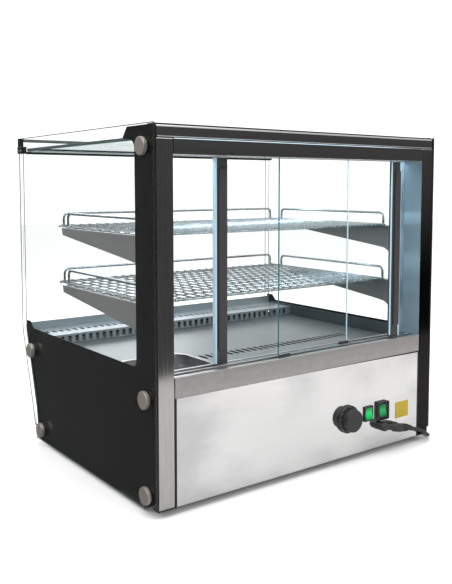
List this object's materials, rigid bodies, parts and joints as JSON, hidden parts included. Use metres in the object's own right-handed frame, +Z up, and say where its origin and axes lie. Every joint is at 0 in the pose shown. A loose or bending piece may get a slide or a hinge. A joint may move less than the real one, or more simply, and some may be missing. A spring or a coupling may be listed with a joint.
{
  "type": "hot food display case",
  "caption": "Countertop heated glass display case with sliding rear glass doors, wire shelves on brackets, slotted deck, water tray, thermostat knob, lit switches and mains lead.",
  "frame": {"origin": "centre of the case's footprint on the surface it stands on, at the bottom of its feet", "axes": "+Z up, +Y towards the operator's side with the sliding doors and controls, -Y towards the customer's bent front glass, +X to the operator's left as they face the doors"},
  "size_m": [0.8622, 0.5901, 0.658],
  "materials": {
    "clear_glass": "tempered clear float glass",
    "printed_glass": "tempered clear glass with black print",
    "satin_cap": "satin turned",
    "mirror_steel": "mirror polished stainless",
    "dark_steel": "polished dark",
    "dark_aluminium": "dark anodised",
    "black_metal": "black coated",
    "brushed_steel": "brushed stainless",
    "wire_chrome": "electropolished wire",
    "aluminium": "bright pressed",
    "black_plastic": "fine moulded texture",
    "green_plastic": "lit translucent",
    "clear_plastic": "clear moulded",
    "cord_sheath": "satin sheath",
    "rubber": "matt"
  },
  "bodies": {
    "case": {"front_glass": "clear_glass", "side_glass_near": "printed_glass", "side_glass_far": "printed_glass", "roof_glass": "clear_glass", "cap_near_top": "satin_cap", "cap_near_rear_mid": "satin_cap", "cap_near_rear_low": "satin_cap", "cap_near_front_mid": "satin_cap", "cap_near_front_low": "satin_cap", "cap_far_top": "satin_cap", "cap_far_rear_mid": "satin_cap", "cap_far_rear_low": "satin_cap", "cap_far_front_mid": "satin_cap", "cap_far_front_low": "satin_cap", "post_near": "mirror_steel", "post_far": "mirror_steel", "column_near": "mirror_steel", "column_far": "mirror_steel", "door_head": "dark_steel", "roof_rear_profile": "dark_steel", "roof_front_profile": "dark_steel", "corner_clamp_near": "black_metal", "corner_clamp_far": "black_metal", "base_tub": "brushed_steel", "rear_panel": "mirror_steel", "rear_sill": "brushed_steel", "deck": "brushed_steel", "foot_near_front": "rubber", "foot_near_rear": "rubber", "foot_far_front": "rubber", "foot_far_rear": "rubber", "heating_element": "brushed_steel", "fan_motor": "brushed_steel", "upper_bracket_near": "brushed_steel", "upper_bracket_far": "brushed_steel", "lower_bracket_near": "brushed_steel", "lower_bracket_far": "brushed_steel", "switch_bezel_1": "black_plastic", "switch_bezel_2": "black_plastic", "switch_cover": "clear_plastic", "cable_relief": "black_plastic", "cord_lead": "cord_sheath", "cord_coil": "cord_sheath", "cord_tail": "cord_sheath", "plug": "black_plastic"},
    "left_door": {"left_door_pane": "clear_glass", "left_door_profile": "dark_aluminium", "left_door_grip": "black_plastic", "left_door_runner": "black_plastic"},
    "right_door": {"right_door_pane": "clear_glass", "right_door_profile": "dark_aluminium", "right_door_grip": "black_plastic", "right_door_runner": "black_plastic"},
    "knob": {"thermostat_knob": "black_plastic"},
    "power_rocker": {"rocker_1": "green_plastic"},
    "light_rocker": {"rocker_2": "green_plastic"},
    "impeller": {"fan_impeller": "aluminium"},
    "tray": {"water_tray": "brushed_steel"},
    "top_rack": {"upper_shelf": "wire_chrome"},
    "bottom_rack": {"lower_shelf": "wire_chrome"}
  },
  "joints": [
    {"name": "left_door_slide", "type": "slide", "parent": "case", "child": "left_door", "axis": [1, 0, 0], "range_m": [-0.183, 0.105]},
    {"name": "right_door_slide", "type": "slide", "parent": "case", "child": "right_door", "axis": [1, 0, 0], "range_m": [-0.0488, 0.2392]},
    {"name": "thermostat_turn", "type": "hinge", "parent": "case", "child": "knob", "pos_m": [-0.097, 0.274, 0.09], "axis": [0, 1, 0], "range_deg": [-270, 0]},
    {"name": "power_rocker_tilt", "type": "hinge", "parent": "case", "child": "power_rocker", "pos_m": [-0.156, 0.275, 0.0905], "axis": [1, 0, 0], "range_deg": [-16, 0]},
    {"name": "light_rocker_tilt", "type": "hinge", "parent": "case", "child": "light_rocker", "pos_m": [-0.197, 0.275, 0.0905], "axis": [1, 0, 0], "range_deg": [-16, 0]},
    {"name": "fan_spin", "type": "hinge", "parent": "case", "child": "impeller", "pos_m": [-0.14, 0.01, 0.091], "axis": [0, 0, 1], "continuous": true},
    {"name": "tray_lift", "type": "slide", "parent": "case", "child": "tray", "axis": [0, 0, 1], "range_m": [0, 0.05]},
    {"name": "upper_shelf_lift", "type": "slide", "parent": "case", "child": "top_rack", "axis": [0, 0, 1], "range_m": [0, 0.05]},
    {"name": "lower_shelf_lift", "type": "slide", "parent": "case", "child": "bottom_rack", "axis": [0, 0, 1], "range_m": [0, 0.04]}
  ]
}
